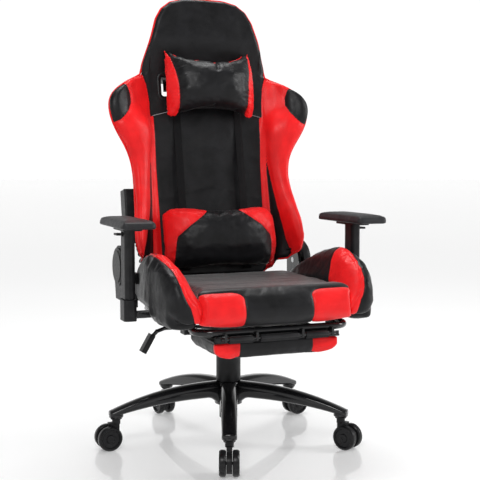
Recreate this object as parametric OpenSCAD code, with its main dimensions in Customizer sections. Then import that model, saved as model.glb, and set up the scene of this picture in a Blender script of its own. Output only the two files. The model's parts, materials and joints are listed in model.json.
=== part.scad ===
// Racing-style swivel chair with a pull-out footrest.
// Millimetres. +Z is up, the chair faces -Y, and the origin is on the floor on the column's axis.

/* [Star base] */
// Turn of the star base about the column, degrees
base_turn = -20; // [-36:1:36]
// Radius of the circle that the five caster stems stand on
stem_circle_r = 315; // [310:1:320]
// Height of the legs' upper edge at the hub
hub_top = 163; // [161:1:165]
// Width of a leg at the hub
leg_root_w = 52; // [48:1:56]
// Width of a leg at its tip
leg_tip_w = 40; // [38:1:44]

/* [Casters] */
// Diameter of a caster wheel
wheel_d = 65; // [62:1:66]
// Width over both wheels of a caster
caster_w = 50; // [48:1:54]
// Distance from a caster's stem to its axle
trail = 22; // [20:1:24]

/* [Gas lift] */
// Radius of the lift's outer column
column_r = 25; // [24:0.5:26]
// Radius of the widest dust cover
cover_r = 33.5; // [33:0.5:35]

/* [Seat] */
// Height of the seat pan's underside
pan_z = 386; // [386:1:390]
// Thickness of the seat pan
pan_t = 12; // [10:1:14]
// Half of the cushion's width between the bolsters
cushion_half_w = 200; // [195:1:205]
// Front edge of the seat cushion
seat_front = 362; // [358:1:366]

/* [Backrest] */
// Lean of the backrest from upright, degrees
lean = 11; // [9:1:13]
// Distance of the recliner's axis behind the column
recline_y = 120; // [118:1:122]
// Height of the recliner's axis
recline_z = 475; // [474:1:477]

/* [Armrests] */
// Distance of an armrest's middle from the chair's middle
arm_x = 314; // [312:1:322]
// Distance of an armrest's post in front of the column
arm_y = 125; // [120:1:130]

/* [Footrest] */
// Half of the distance between the footrest's rails
rail_x = 197; // [196:1:199]
// Height of the footrest's tube
rail_z = 357; // [356:1:358]
// Radius of the footrest's tube
rail_r = 9; // [8:0.5:9]

/* [Hidden] */
$fn = 48;

// Slip gap between solids of one body, running clearance of a shaft, and gap between soft solids
slip = 0.1;
running = 0.06;
soft_gap = 0.5;

wheel_r = wheel_d / 2;
stem_r = 5.5;
axle_r = 4;
web_half = 7;
caster_top = 80;
neck_z = 67;
leg_count = 5;
leg_step = 360 / leg_count;
// Where each caster trails, in degrees from straight ahead of the chair, leg by leg
caster_heading = [-21, 31, 100, 189, 274];

hub_bottom = 98;
column_bottom = 60;
column_top = 262;
piston_r = 14;
piston_top = 336;
cover_h = 100;
cover_wall = 1.5;
cover_step = 2.1;

housing_bottom = 286;
pivot_y = -60;
pivot_z = 362;
axle_half = 78;
lever_y = -48;
lever_z = 323;
lever_pivot_x = -42;
knob_y = -84;
plate_z = pan_z - 4;
pan_top = pan_z + pan_t;
pan_side_x = 228;
bolt_x = 84;
bolt_y = 85;

rail_front = -336;
rail_back = 115;
rail_bend = 45;
board_half_w = 165;
board_front = -346;
board_back = -152;
board_top = 337.5;
flip_y = -355;
flip_z = 344;
flip_rod_r = 4;
lug_x = [60, 140];

plate_x = 246;
plate_t = 4;
arm_inner_x = plate_x + plate_t + 1;
lever_x = plate_x + 12;
cover_x = plate_x + 11;
cover_w = 19;
disc_r = 42;
pin_r = 8;
arm_mid_y = 13;
arm_bolts_v = [100, 180];
// The arm is joggled inwards above the hinge
joggle_v = 62;
upper_arm_x = 227;

panel_half = 180;
panel_front = 28;
foam_back = -39;
shell_wall = 6;
shell_front = -12;
shell_back = -45;
back_bottom = -18;
hole_u = 95;
hole_v = 503;
frame_y = 24;
strap_u = 92;
strap_w = 22;

// The backrest's outline, right half: [half width, height along the back]
back_outline = [
    [0, 752], [60, 750], [98, 740], [125, 720], [143, 690], [155, 650], [168, 608], [187, 550],
    [218, 518], [256, 496], [286, 472], [297, 442], [292, 402], [276, 366], [250, 330], [234, 290],
    [229, 250], [231, 208], [237, 150], [243, 100], [245, 60], [237, 27], [213, 2], [165, back_bottom],
    [0, back_bottom]
];

// ---------- helpers ----------

module both_sides() {
    children();
    mirror([1, 0, 0]) children();
}

// Backrest frame: x across, y backwards from the recliner's plane, z up along the back
module on_back() {
    translate([0, recline_y, recline_z]) rotate([-lean, 0, 0]) children();
}

module on_leg(n) {
    rotate([0, 0, base_turn + n * leg_step]) children();
}

module on_stem(n) {
    on_leg(n) translate([0, -stem_circle_r, 0])
        rotate([0, 0, caster_heading[n] - base_turn - n * leg_step]) children();
}

module rod_x(r, x0, x1) {
    translate([x0, 0, 0]) rotate([0, 90, 0]) cylinder(r = r, h = x1 - x0);
}

module rod_between(a, b, r) {
    d = b - a;
    length = norm(d);
    translate(a) rotate([0, acos(d[2] / length), atan2(d[1], d[0])]) cylinder(r = r, h = length);
}

// A box with upright edges rounded: size [x, y, z], centred in x and y
module rounded_box(size, r) {
    linear_extrude(size[2]) rounded_rectangle(size[0], size[1], r);
}

module rounded_rectangle(w, d, r) {
    square([w - 2 * r, d], center = true);
    square([w, d - 2 * r], center = true);
    for (sx = [-1, 1], sy = [-1, 1])
        translate([sx * (w / 2 - r), sy * (d / 2 - r)]) circle(r);
}

// Skin over a list of rings that each have the same number of points
module loft(rings) {
    count = len(rings[0]);
    last = len(rings) - 1;
    sides = [for (k = [0:last - 1], i = [0:count - 1])
        let (j = (i + 1) % count)
        [k * count + i, k * count + j, (k + 1) * count + j, (k + 1) * count + i]];
    start_cap = [[for (i = [count - 1:-1:0]) i]];
    end_cap = [[for (i = [0:count - 1]) last * count + i]];
    points = [for (ring = rings) for (p = ring) p];
    triangles = [for (f = sides) each [[f[0], f[2], f[1]], [f[0], f[3], f[2]]]];
    polyhedron(points = points, faces = concat(triangles, [for (f = start_cap) reverse(f)],
        [for (f = end_cap) reverse(f)]), convexity = 6);
}

function reverse(list) = [for (i = [len(list) - 1:-1:0]) list[i]];

function mix(a, b, t) = a + (b - a) * t;

// Value of a table of [key, value] rows at a key between them
function look(table, key) = lookup(key, table);

// ---------- star base and casters ----------

function leg_top(r) = hub_top - 1 - 62 * pow(max(0, r - 20) / (stem_circle_r + 1), 2.2);
function leg_under(r) = 118 - 35 * pow(max(0, r - 20) / (stem_circle_r + 1), 2.4);

module leg_side() {
    steps = [for (r = [20:21:stem_circle_r + 20]) r];
    polygon(concat([for (r = steps) [r, leg_top(r)]], [for (r = reverse(steps)) [r, leg_under(r)]]));
}

module leg() {
    intersection() {
        rotate([0, 0, -90]) rotate([90, 0, 0]) translate([0, 0, -60]) linear_extrude(120) leg_side();
        linear_extrude(200) {
            polygon([[-leg_root_w / 2, 0], [leg_root_w / 2, 0],
                [leg_tip_w / 2 - 1, -stem_circle_r], [1 - leg_tip_w / 2, -stem_circle_r]]);
            translate([0, -stem_circle_r]) circle(leg_tip_w / 2);
        }
    }
}

module star_base() {
    color("black") difference() {
        union() {
            for (n = [0:leg_count - 1]) on_leg(n) leg();
            translate([0, 0, hub_bottom]) cylinder(r = 41, h = hub_top - hub_bottom);
        }
        translate([0, 0, hub_bottom - 1]) cylinder(r = column_r + slip, h = 80);
        for (n = [0:leg_count - 1]) on_leg(n) translate([0, -stem_circle_r, 70])
            cylinder(r = 9 + slip, h = 26);
    }
}

module caster_sockets() {
    color("dimgray") for (n = [0:leg_count - 1]) on_leg(n) translate([0, -stem_circle_r, 0])
        difference() {
            union() {
                translate([0, 0, caster_top]) cylinder(r = 9, h = 15);
                translate([0, 0, caster_top + 0.4]) cylinder(r = 15, h = 2.4);
            }
            translate([0, 0, caster_top - 1]) cylinder(r = stem_r + running, h = 14);
        }
}

module caster_hood(n) {
    color("dimgray") on_stem(n) {
        difference() {
            union() {
                translate([0, -trail, wheel_r]) rod_x(26, -web_half, web_half);
                translate([-web_half, -trail, wheel_r]) cube([2 * web_half, trail + web_half, caster_top - 8 - wheel_r]);
                translate([0, 0, neck_z]) cylinder(r = 11, h = caster_top - neck_z);
            }
            translate([0, -trail, wheel_r]) rod_x(axle_r + running, -20, 20);
            translate([0, 0, 55]) cylinder(r = stem_r + slip, h = 60);
        }
        translate([0, 0, 56]) cylinder(r = stem_r, h = 36);
    }
}

module caster_wheels(n) {
    color("black") on_stem(n) translate([0, -trail, wheel_r]) {
        rod_x(axle_r, 2 - caster_w / 2, caster_w / 2 - 2);
        both_sides() difference() {
            rotate([0, 90, 0]) rotate_extrude($fn = 64) polygon([
                [axle_r + slip, web_half + 1], [wheel_r - 3, web_half + 1], [wheel_r, web_half + 4],
                [wheel_r, caster_w / 2 - 4], [wheel_r - 3, caster_w / 2], [wheel_r - 7, caster_w / 2],
                [wheel_r - 9, caster_w / 2 - 4], [12, caster_w / 2 - 4], [10, caster_w / 2 - 1],
                [axle_r + slip, caster_w / 2 - 1]]);
        }
    }
}

// ---------- gas lift ----------

module lift_column() {
    color("black") difference() {
        translate([0, 0, column_bottom]) cylinder(r = column_r, h = column_top - column_bottom);
        translate([0, 0, column_bottom + 8])
            cylinder(r = piston_r + running, h = column_top - column_bottom);
    }
}

module lift_piston() {
    color("silver") translate([0, 0, column_bottom + 12])
        cylinder(r = piston_r, h = piston_top - column_bottom - 12);
}

// One cup of the telescopic dust cover: level 0 is the widest, standing on the hub
module dust_cup(level) {
    r = cover_r - level * cover_step;
    z = hub_top + slip + level * 6;
    h = level == 2 ? housing_bottom - soft_gap - z : cover_h;
    color("black") translate([0, 0, z]) difference() {
        cylinder(r = r, h = h, $fn = 64);
        translate([0, 0, -1]) cylinder(r = r - cover_wall, h = h + 2, $fn = 64);
    }
}

// ---------- tilt mechanism ----------

module mech_housing() {
    color("black") difference() {
        union() {
            difference() {
                translate([0, -15, housing_bottom]) rounded_box([128, 130, 58], 8);
                translate([0, -15, housing_bottom - 4]) rounded_box([118, 120, 52], 5);
            }
            translate([0, 0, 288]) cylinder(r = 22, h = 47);
            both_sides() translate([58, pivot_y - 15, 300]) cube([6, 30, pivot_z - 300 + 14]);
        }
        translate([0, 0, 280]) cylinder(r = piston_r + running, h = piston_top - 280 + slip);
        translate([0, pivot_y, pivot_z]) rod_x(6 + running, -80, 80);
        translate([-70, lever_y - 6, lever_z - 6]) cube([15, 12, 17]);
        translate([0, knob_y + 10, 312]) rotate([90, 0, 0]) cylinder(r = 6 + running, h = 30);
    }
}

// Slides sideways in the housing to lock the rocking, and carries the lever's hinge
module lever_block() {
    color("dimgray") difference() {
        translate([lever_pivot_x - 8, lever_y - 14, lever_z - 9]) cube([16, 28, 19.5]);
        translate([lever_pivot_x - 20, lever_y - 5.6, lever_z - 20]) cube([40, 11.2, 27.5]);
        translate([lever_pivot_x, lever_y, lever_z]) rotate([90, 0, 0])
            cylinder(r = 3 + running, h = 40, center = true);
    }
}

module rock_axle() {
    color("silver") translate([0, pivot_y, pivot_z]) rod_x(6, -axle_half, axle_half);
}

// Coil spring round the tension bolt, under the front of the mechanism
module rock_spring() {
    turns = 4;
    sides = 8;
    per_turn = 16;
    wire_r = 2.4;
    coil_r = 13;
    pitch = 5.5;
    rings = [for (k = [0:turns * per_turn])
        let (a = k * 360 / per_turn)
        [for (i = [0:sides - 1])
            let (b = i * 360 / sides, r = coil_r + wire_r * cos(b))
            [r * cos(a), r * sin(a), pitch * k / per_turn + wire_r * sin(b)]]];
    color("silver") translate([0, knob_y, 312]) rotate([90, 0, 0]) loft(rings);
}

module tension_knob() {
    color("black") translate([0, knob_y, 312]) rotate([90, 0, 0]) {
        translate([0, 0, -8]) cylinder(r = 6, h = 40);
        translate([0, 0, 27]) cylinder(r = 22, h = 20);
        for (a = [0:45:315]) rotate([0, 0, a]) translate([21, 0, 28]) cylinder(r = 4, h = 18);
    }
}

lever_path = [[lever_pivot_x + 7, lever_y, lever_z], [-196, lever_y, lever_z + 3], [-218, lever_y, lever_z - 4],
    [-238, lever_y, lever_z - 24]];

module lever_rod() {
    color("black") {
        for (k = [0:len(lever_path) - 2]) rod_between(lever_path[k], lever_path[k + 1], 5);
        for (k = [1:len(lever_path) - 2]) translate(lever_path[k]) sphere(5.5);
        translate([lever_pivot_x, lever_y, lever_z]) rotate([90, 0, 0])
            cylinder(r = 3, h = 28, center = true);
    }
}

module lever_paddle() {
    tip = lever_path[3];
    color("black") translate(tip) rotate([0, -150, 0]) difference() {
        translate([0, 0, -14]) linear_extrude(52, convexity = 4) rounded_rectangle(14, 34, 6);
        translate([0, 0, -15]) cylinder(r = 5 + slip, h = 15.1);
    }
}

module mech_plate() {
    color("black") difference() {
        union() {
            translate([0, 5, plate_z]) rounded_box([200, 200, 4], 10);
            both_sides() translate([66, pivot_y - 18, pivot_z - 14]) cube([5, 36, plate_z - pivot_z + 15]);
        }
        translate([0, pivot_y, pivot_z]) rod_x(6 + running, -80, 80);
        for (sx = [-1, 1], sy = [-1, 1])
            translate([sx * bolt_x, 5 + sy * bolt_y, plate_z - 1]) cylinder(r = 4 + slip, h = 6);
    }
}

module mech_bolts() {
    color("silver") for (sx = [-1, 1], sy = [-1, 1])
        translate([sx * bolt_x, 5 + sy * bolt_y, plate_z - 6]) {
            cylinder(r = 7, h = 6 - slip / 2, $fn = 6);
            cylinder(r = 4, h = 20);
        }
}

// ---------- seat ----------

module seat_pan() {
    color("burlywood") difference() {
        translate([0, 0, pan_z]) linear_extrude(pan_t) polygon([
            [-175, -335], [175, -335], [205, -290], [pan_side_x, -160], [pan_side_x, 62],
            [plate_x - slip, 70], [plate_x - slip, 160], [slip - plate_x, 160], [slip - plate_x, 70],
            [-pan_side_x, 62], [-pan_side_x, -160], [-205, -290]]);
        for (sx = [-1, 1], sy = [-1, 1])
            translate([sx * bolt_x, 5 + sy * bolt_y, pan_z - 1]) cylinder(r = 4 + slip, h = pan_t + 2);
    }
}

module seat_cushion() {
    front = -seat_front;
    top = pan_top + 54;
    color("black") intersection() {
        rotate([90, 0, 90]) translate([0, 0, -cushion_half_w]) linear_extrude(2 * cushion_half_w)
            polygon([[-337, 373], [front + 12, 373], [front, 388], [front, 428], [front + 8, top - 10],
                [front + 30, top], [-200, top], [20, top - 2], [60, top - 6], [66, top - 14],
                [66, pan_top + slip], [-337, pan_top + slip]]);
        translate([0, 0, 300]) linear_extrude(200) polygon([
            [-185, front], [185, front], [cushion_half_w, front + 20], [cushion_half_w, 66],
            [-cushion_half_w, 66], [-cushion_half_w, front + 20]]);
    }
}

// Side bolster: [y, ridge x, ridge z, outer x]
bolster_rows = [
    [100, 232, 447, 236], [60, 238, 466, 243], [20, 246, 487, 250], [-30, 255, 509, 257.5],
    [-90, 262, 530, 265.5], [-150, 266, 541, 273], [-200, 265, 540, 275], [-240, 260, 530, 275],
    [-280, 256, 516, 272], [-310, 251, 500, 268], [-332, 247, 480, 262], [-346, 243, 458, 254],
    [-355, 235, 434, 244]
];

// Half width of the pan, under a bolster
function pan_edge(y) = y < -160 ? mix(205, pan_side_x, (y + 290) / 130) : pan_side_x;

function bolster_ring(row) =
    let (y = row[0], ridge = row[1], top = row[2], outer = row[3],
        inner = cushion_half_w + soft_gap,
        floor_z = pan_top + slip,
        shoulder = mix(floor_z, top, 0.66))
    [[inner, y, floor_z], [outer - 4, y, floor_z], [outer, y, floor_z + 14], [outer, y, shoulder],
        [mix(ridge, outer, 0.7), y, top - 9], [ridge, y, top], [mix(inner, ridge, 0.75), y, top - 3],
        [mix(inner, ridge, 0.35), y, mix(floor_z, top, 0.74)], [inner, y, mix(floor_z, top, 0.42)]];

// The bolster's outer edge hangs down over the pan's side
function lip_ring(row) =
    let (y = row[0], side = max(cushion_half_w + 10, pan_edge(y) + 1.5), edge = max(side + 5, row[3] - 3),
        low = y < -160 ? rail_z + rail_r + 3 : pan_z + 1.5)
    [[side, y, low], [edge, y, low], [edge, y, pan_top + 8], [side, y, pan_top + 8]];

module seat_bolster() {
    color("firebrick") {
        loft([for (row = bolster_rows) bolster_ring(row)]);
        loft([for (row = bolster_rows) if (row[0] < 60 && row[0] > -340) lip_ring(row)]);
    }
}

// ---------- armrests ----------

post_top = 558;
sleeve_z = 366;
shroud_z = 421;
pad_bottom = 600;
pad_top = 624;
shroud_h = pad_bottom - shroud_z;
trigger_z = 583;

// Steel bar under the pan, and the post welded to its end
module armrest_bracket() {
    bar_z = pan_z - 14;
    color("black") {
        translate([100, -arm_y - 19, bar_z]) cube([arm_x - 100, 38, 14 - slip]);
        translate([arm_x, -arm_y, bar_z]) rounded_box([19, 41, post_top - bar_z], 6);
    }
}

module armrest_sleeve() {
    floor_t = pan_z - 14 - sleeve_z - slip;
    color("dimgray") translate([arm_x, -arm_y, sleeve_z]) difference() {
        rounded_box([33, 54, shroud_z - 2 - sleeve_z], 10);
        translate([0, 0, floor_t]) rounded_box([19 + 2 * slip, 41 + 2 * slip, 60], 6 + slip);
        translate([-30, -19 - slip, floor_t]) cube([30, 38 + 2 * slip, 14 + slip]);
    }
}

module armrest_shroud() {
    slot_low = trigger_z - shroud_z - 6;
    color("black") translate([arm_x, -arm_y, shroud_z]) difference() {
        union() {
            rounded_box([27, 50, shroud_h], 10);
            translate([0, 0, shroud_h - 7]) rounded_box([50, 110, 7], 10);
        }
        translate([0, 0, -1]) rounded_box([19.8, 41.8, shroud_h - 9], 6.2);
        translate([8, -11.5, slot_low]) cube([20, 23, 11]);
        translate([5, 0, trigger_z - shroud_z]) rotate([90, 0, 0])
            cylinder(r = 2 + running, h = 46.2, center = true);
    }
}

module armrest_pad() {
    low = pad_bottom + 0.2;
    color("black") translate([arm_x, -arm_y + 7, 0]) intersection() {
        translate([0, 0, pad_bottom - 5]) linear_extrude(60) rounded_rectangle(88, 256, 20);
        rotate([90, 0, 90]) translate([0, 0, -50]) linear_extrude(100)
            polygon([[-126, low], [126, low], [128, low + 5], [120, pad_top - 6], [92, pad_top - 1],
                [60, pad_top], [-60, pad_top], [-100, pad_top - 2], [-122, pad_top - 7], [-128, low + 6]]);
        rotate([90, 0, 0]) translate([0, 0, -140]) linear_extrude(280)
            polygon([[-42, low], [42, low], [44, low + 6], [36, pad_top - 4], [20, pad_top], [-20, pad_top],
                [-36, pad_top - 4], [-44, low + 6]]);
    }
}

// Paddle hinged inside the shroud: pulling its outer end up frees the armrest
module armrest_trigger() {
    color("black") translate([arm_x, -arm_y, trigger_z]) {
        translate([5, 0, 0]) rotate([90, 0, 0]) cylinder(r = 2, h = 46, center = true);
        translate([2, -11, -1.5]) cube([29, 22, 3]);
        translate([17, -15, -2.5]) cube([15, 30, 5]);
    }
}

// ---------- footrest ----------

module rail_corner() {
    translate([rail_x - rail_bend, rail_front + rail_bend, rail_z]) rotate([0, 0, -90])
        rotate_extrude(angle = 90) translate([rail_bend, 0]) circle(rail_r);
}

module footrest_frame() {
    color("black") {
        both_sides() {
            translate([rail_x, rail_front + rail_bend, rail_z]) rotate([-90, 0, 0])
                cylinder(r = rail_r, h = rail_back - rail_front - rail_bend);
            rail_corner();
            for (x = lug_x) translate([x - 3, flip_y - 6, board_top + 1])
                cube([6, rail_front - flip_y + 6, rail_z - board_top]);
        }
        translate([0, rail_front, rail_z]) rod_x(rail_r, rail_bend - rail_x, rail_x - rail_bend);
        translate([0, flip_y, flip_z]) rod_x(flip_rod_r, -150, 150);
    }
}

module footrest_guides() {
    color("dimgray") both_sides() for (y = [-262, -98]) difference() {
        translate([rail_x - 14, y, rail_z - 13]) cube([28, 34, pan_z - rail_z + 13 - slip]);
        translate([rail_x, y - 1, rail_z]) rotate([-90, 0, 0]) cylinder(r = rail_r + running, h = 36);
    }
}

module footrest_board() {
    knuckle_r = 6;
    color("black") difference() {
        union() {
            translate([-board_half_w, board_front, board_top - 4.5])
                cube([2 * board_half_w, board_back - board_front, 4.5]);
            for (span = [[-130, -70], [-50, 50], [70, 130]]) {
                translate([0, flip_y, flip_z]) rod_x(knuckle_r, span[0], span[1]);
                translate([span[0], flip_y, board_top - 4.5])
                    cube([span[1] - span[0], board_front - flip_y + 8, 4.5]);
                translate([span[0], flip_y - 2, board_top - 4.5]) cube([span[1] - span[0], 6, 6]);
            }
        }
        translate([0, flip_y, flip_z]) rod_x(flip_rod_r + running, -200, 200);
    }
}

module footrest_cushion() {
    top = board_top - 4.5 - slip;
    w = board_half_w;
    color("firebrick") intersection() {
        rotate([90, 0, 90]) translate([0, 0, -w - 1]) linear_extrude(2 * w + 2)
            polygon([[board_front, top], [board_front, 312], [board_front + 6, 298], [-305, 291],
                [-220, 292], [-170, 301], [board_back, 316], [board_back, top]]);
        rotate([90, 0, 0]) translate([0, 0, 100]) linear_extrude(300)
            polygon([[-w, top], [-w, 314], [12 - w, 302], [70 - w, 290],
                [w - 70, 290], [w - 12, 302], [w, 314], [w, top]]);
    }
}

// ---------- recliner ----------

module at_recliner() {
    translate([0, recline_y, recline_z]) children();
}

module recliner_plate() {
    color("black") difference() {
        at_recliner() rotate([90, 0, 90]) translate([0, 0, plate_x]) linear_extrude(plate_t) {
            circle(disc_r);
            polygon([[-disc_r, 0], [disc_r, 0], [40, -103], [-85, -103], [-85, -78], [-60, -50]]);
        }
        at_recliner() rod_x(pin_r + running, plate_x - 5, plate_x + 20);
    }
}

module recliner_pin() {
    color("silver") at_recliner() rod_x(pin_r, plate_x - 0.5, cover_x + 14);
}

// Plastic cover over the hinge: a disc on a foot, open on its inner side
module side_cover(lever_slot) {
    color("dimgray") at_recliner() difference() {
        union() {
            rotate([90, 0, 90]) translate([0, 0, cover_x]) linear_extrude(cover_w) side_cover_outline(0);
            translate([plate_x + plate_t + slip, -30, -90]) cube([12, 60, 26]);
        }
        rotate([90, 0, 90]) translate([0, 0, cover_x - 1]) linear_extrude(cover_w - 2) difference() {
            side_cover_outline(3);
            translate([-80, -100]) square([160, 40]);
        }
        if (lever_slot) translate([cover_x - 1, -80, -28]) cube([14, 60, 54]);
    }
}

module side_cover_outline(inset) {
    circle(58 - inset, $fn = 72);
    polygon([[-58 + inset, 0], [58 - inset, 0], [38 - inset, -92 + inset], [-38 + inset, -92 + inset]]);
}

module disc_cap() {
    color("dimgray") at_recliner() {
        rod_x(52, cover_x + cover_w + slip, cover_x + cover_w + 5);
        rod_x(44, cover_x + cover_w + 4, cover_x + cover_w + 8);
    }
}

module recline_arm() {
    color("black") on_back() difference() {
        union() {
            rotate([90, 0, 90]) translate([0, 0, arm_inner_x]) linear_extrude(plate_t) {
                circle(disc_r);
                polygon([[-disc_r, 0], [disc_r, 0], [34, joggle_v], [34, joggle_v + plate_t],
                    [-8, joggle_v + plate_t], [-8, joggle_v]]);
            }
            translate([upper_arm_x, -8, joggle_v]) cube([arm_inner_x + plate_t - upper_arm_x, 42, plate_t]);
            translate([upper_arm_x, -8, joggle_v]) cube([plate_t, 42, 206 - joggle_v]);
        }
        rod_x(pin_r + running, plate_x, plate_x + 20);
        for (v = arm_bolts_v) translate([0, frame_y, v])
            rod_x(4 + slip, upper_arm_x - 5, upper_arm_x + 10);
    }
}

module arm_cover() {
    color("black") on_back() difference() {
        translate([upper_arm_x + 10.6, arm_mid_y, joggle_v + plate_t + slip]) rounded_box([28, 50, 148], 5);
        translate([upper_arm_x - slip, -8 - slip, joggle_v]) cube([plate_t + 2 * slip, 42 + 2 * slip, 148]);
        for (v = arm_bolts_v) translate([0, frame_y, v]) rod_x(8, upper_arm_x - 8, upper_arm_x + 12);
    }
}

module arm_bolts() {
    color("silver") on_back() both_sides() for (v = arm_bolts_v) translate([0, frame_y, v]) {
        rod_x(4, 145, upper_arm_x + plate_t + 6);
        rod_x(6.5, upper_arm_x + plate_t + slip, upper_arm_x + plate_t + 5);
    }
}

module recline_lever() {
    color("black") at_recliner() difference() {
        rotate([90, 0, 90]) translate([0, 0, lever_x]) linear_extrude(4) {
            circle(20);
            polygon([[0, 16], [0, -18], [-70, -20], [-130, -22], [-130, -6], [-70, -4]]);
        }
        rod_x(pin_r + running, lever_x - 5, lever_x + 10);
    }
}

module recline_grip() {
    color("black") at_recliner() difference() {
        translate([lever_x + 13, -118, -14]) rotate([90, 0, 0]) linear_extrude(60)
            rounded_rectangle(16, 28, 6);
        translate([lever_x - 10, -130 - slip, -22 - slip]) cube([14 + slip, 40, 16 + 2 * slip]);
    }
}

// ---------- backrest ----------

function outline_both(list) = concat(list, [for (p = reverse(list)) if (p[0] > 0) [-p[0], p[1]]]);

// Part of the outline within the middle panel: head above, straight sides below
panel_outline = concat(
    [for (p = back_outline) if (p[1] >= 550) p],
    [[panel_half, 530], [panel_half, back_bottom], [0, back_bottom]]);

module slot_pair(grow) {
    for (s = [-1, 1]) translate([s * hole_u, hole_v])
        rounded_rectangle(60 + 2 * grow, 76 + 2 * grow, 16 + grow);
}

module panel_shape(inset) {
    difference() {
        polygon(outline_both([for (p = panel_outline) [max(0, p[0] - inset),
            p[1] > 700 ? p[1] - inset : p[1] < 0 ? p[1] + inset : p[1]]]));
        slot_pair(inset);
    }
}

// Slab of the panel's shape, from one depth of the back to another
module panel_slab(front, back, inset) {
    rotate([90, 0, 0]) translate([0, 0, back]) linear_extrude(front - back, convexity = 6)
        panel_shape(inset);
}

// The head part stands prouder than the middle panel, in two steps
module head_crown() {
    rotate([90, 0, 0]) translate([0, 0, panel_front - 1]) {
        linear_extrude(15) polygon([[-98, 741], [98, 741], [124, 718], [143, 675], [160, 610], [155, 560],
            [-155, 560], [-160, 610], [-143, 675], [-124, 718]]);
        linear_extrude(38) polygon([[-90, 736], [90, 736], [117, 712], [136, 670], [148, 618], [144, 606],
            [-144, 606], [-148, 618], [-136, 670], [-117, 712]]);
    }
}

module back_foam() {
    color("black") on_back() difference() {
        union() {
            panel_slab(panel_front, shell_front + slip, 0);
            panel_slab(shell_front + 1, foam_back + slip, shell_wall + slip);
            head_crown();
        }
        frame_tubes(0.4);
        for (v = arm_bolts_v) translate([0, frame_y, v]) rod_x(4 + slip, -200, 200);
    }
}

// Rear shell: a tray over the foam's back
module back_cover() {
    color("black") on_back() difference() {
        panel_slab(shell_front, shell_back, 0);
        panel_slab(shell_front + 10, foam_back, shell_wall);
        for (v = arm_bolts_v) translate([0, frame_y, v]) rod_x(4 + slip, -200, 200);
    }
}

frame_path = [[150, 6], [150, 560], [112, 640], [92, 690]];
frame_rungs = [60, 430];

module frame_tubes(grow) {
    translate([0, frame_y, 0]) {
        both_sides() {
            for (k = [0:len(frame_path) - 2]) rod_between(
                [frame_path[k][0], 0, frame_path[k][1]], [frame_path[k + 1][0], 0, frame_path[k + 1][1]],
                10 + grow);
            for (k = [1:len(frame_path) - 1])
                translate([frame_path[k][0], 0, frame_path[k][1]]) sphere(10.8 + grow);
            translate([frame_path[0][0], 0, frame_path[0][1] - grow]) cylinder(r = 10 + grow, h = grow + 1);
        }
        translate([0, 0, frame_path[3][1]]) rod_x(10 + grow, -frame_path[3][0], frame_path[3][0]);
        for (v = frame_rungs) translate([0, 0, v]) rod_x(8 + grow, -frame_path[0][0], frame_path[0][0]);
    }
}

module back_frame() {
    color("dimgray") on_back() difference() {
        frame_tubes(0);
        for (v = arm_bolts_v) translate([0, frame_y, v]) {
            rod_x(4 + slip, 130, 200);
            rod_x(4 + slip, -200, -130);
        }
    }
}

// Wing: [height along the back, how far its front edge stands forward, its thickness there]
wing_rows = [
    [530, 50, 62], [505, 66, 68], [480, 76, 70], [455, 83, 72], [430, 84, 72], [395, 82, 72], [360, 74, 72],
    [325, 62, 72], [285, 54, 74], [245, 54, 80], [205, 62, 90], [150, 82, 112], [100, 96, 126],
    [60, 102, 132], [27, 96, 126], [4, 84, 112]
];

// How far a wing's side leans in towards the rear, for each unit of its depth
wing_taper = 0.35;

// Half width of the outline at a height along the back, below the neck
side_table = [for (p = reverse([for (q = back_outline) if (q[1] <= 560 && q[1] >= 0) q])) [p[1], p[0]]];

function wing_ring(row) =
    let (v = row[0], front = row[1], rear = row[2] - front,
        outer = max(panel_half + 10, look(side_table, v)),
        inner = panel_half + soft_gap,
        behind = max(inner + 8, outer - wing_taper * (row[2] - 16)))
    [[inner, -shell_back, v], [mix(inner, behind, 0.6), mix(-shell_back, rear, 0.3), v], [behind - 6, rear, v],
        [behind, rear - 8, v], [outer, -(front - 8), v], [outer - 8, -front, v],
        [mix(inner, outer, 0.5), -mix(panel_front, front, 0.55), v], [inner, -panel_front, v]];

module back_wing() {
    color("firebrick") on_back() difference() {
        loft([for (row = wing_rows) wing_ring(row)]);
        for (v = arm_bolts_v) translate([0, frame_y, v]) rod_x(4.5, 170, 260);
    }
}

// One elastic loop round the backrest, through a strap hole and back under the bottom edge
module pillow_strap() {
    front = -panel_front - 2.6;
    rear = -shell_back + 1;
    top = hole_v - 34;
    bottom = back_bottom - 3;
    translate([-strap_w / 2, 0, 0]) {
        translate([0, front, bottom]) cube([strap_w, 2, top - bottom]);
        translate([0, front, top - 2]) cube([strap_w, rear + 2 - front, 2]);
        translate([0, rear, bottom]) cube([strap_w, 2, top - bottom]);
        translate([0, front, bottom]) cube([strap_w, rear + 2 - front, 2]);
    }
}

module pillow_straps() {
    color("black") on_back() for (s = [-1, 1]) translate([s * strap_u, 0, 0]) pillow_strap();
}

pillow_back = 46.5;

module head_strap() {
    rear = -shell_back + 1;
    top = hole_v + 30;
    color("black") on_back() {
        for (s = [-1, 1]) translate([s * strap_u - strap_w / 2, 0, 0])
            translate([0, slip - pillow_back, top - 2]) cube([strap_w, pillow_back + rear + 2 - slip, 2]);
        translate([-strap_u - strap_w / 2, rear, top - 25]) cube([2 * strap_u + strap_w, 2, 25]);
    }
}

// A pillow: rings across its width, [x, low, high, thickness]
function pillow_ring(row, back) =
    let (u = row[0], low = row[1], high = row[2], t = row[3], h = high - low)
    [[u, -back, low + 0.12 * h], [u, -back - 0.3 * t, low], [u, -back - 0.8 * t, low + 0.14 * h],
        [u, -back - t, low + 0.35 * h], [u, -back - t, low + 0.65 * h], [u, -back - 0.8 * t, high - 0.12 * h],
        [u, -back - 0.3 * t, high], [u, -back, high - 0.12 * h]];

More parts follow.
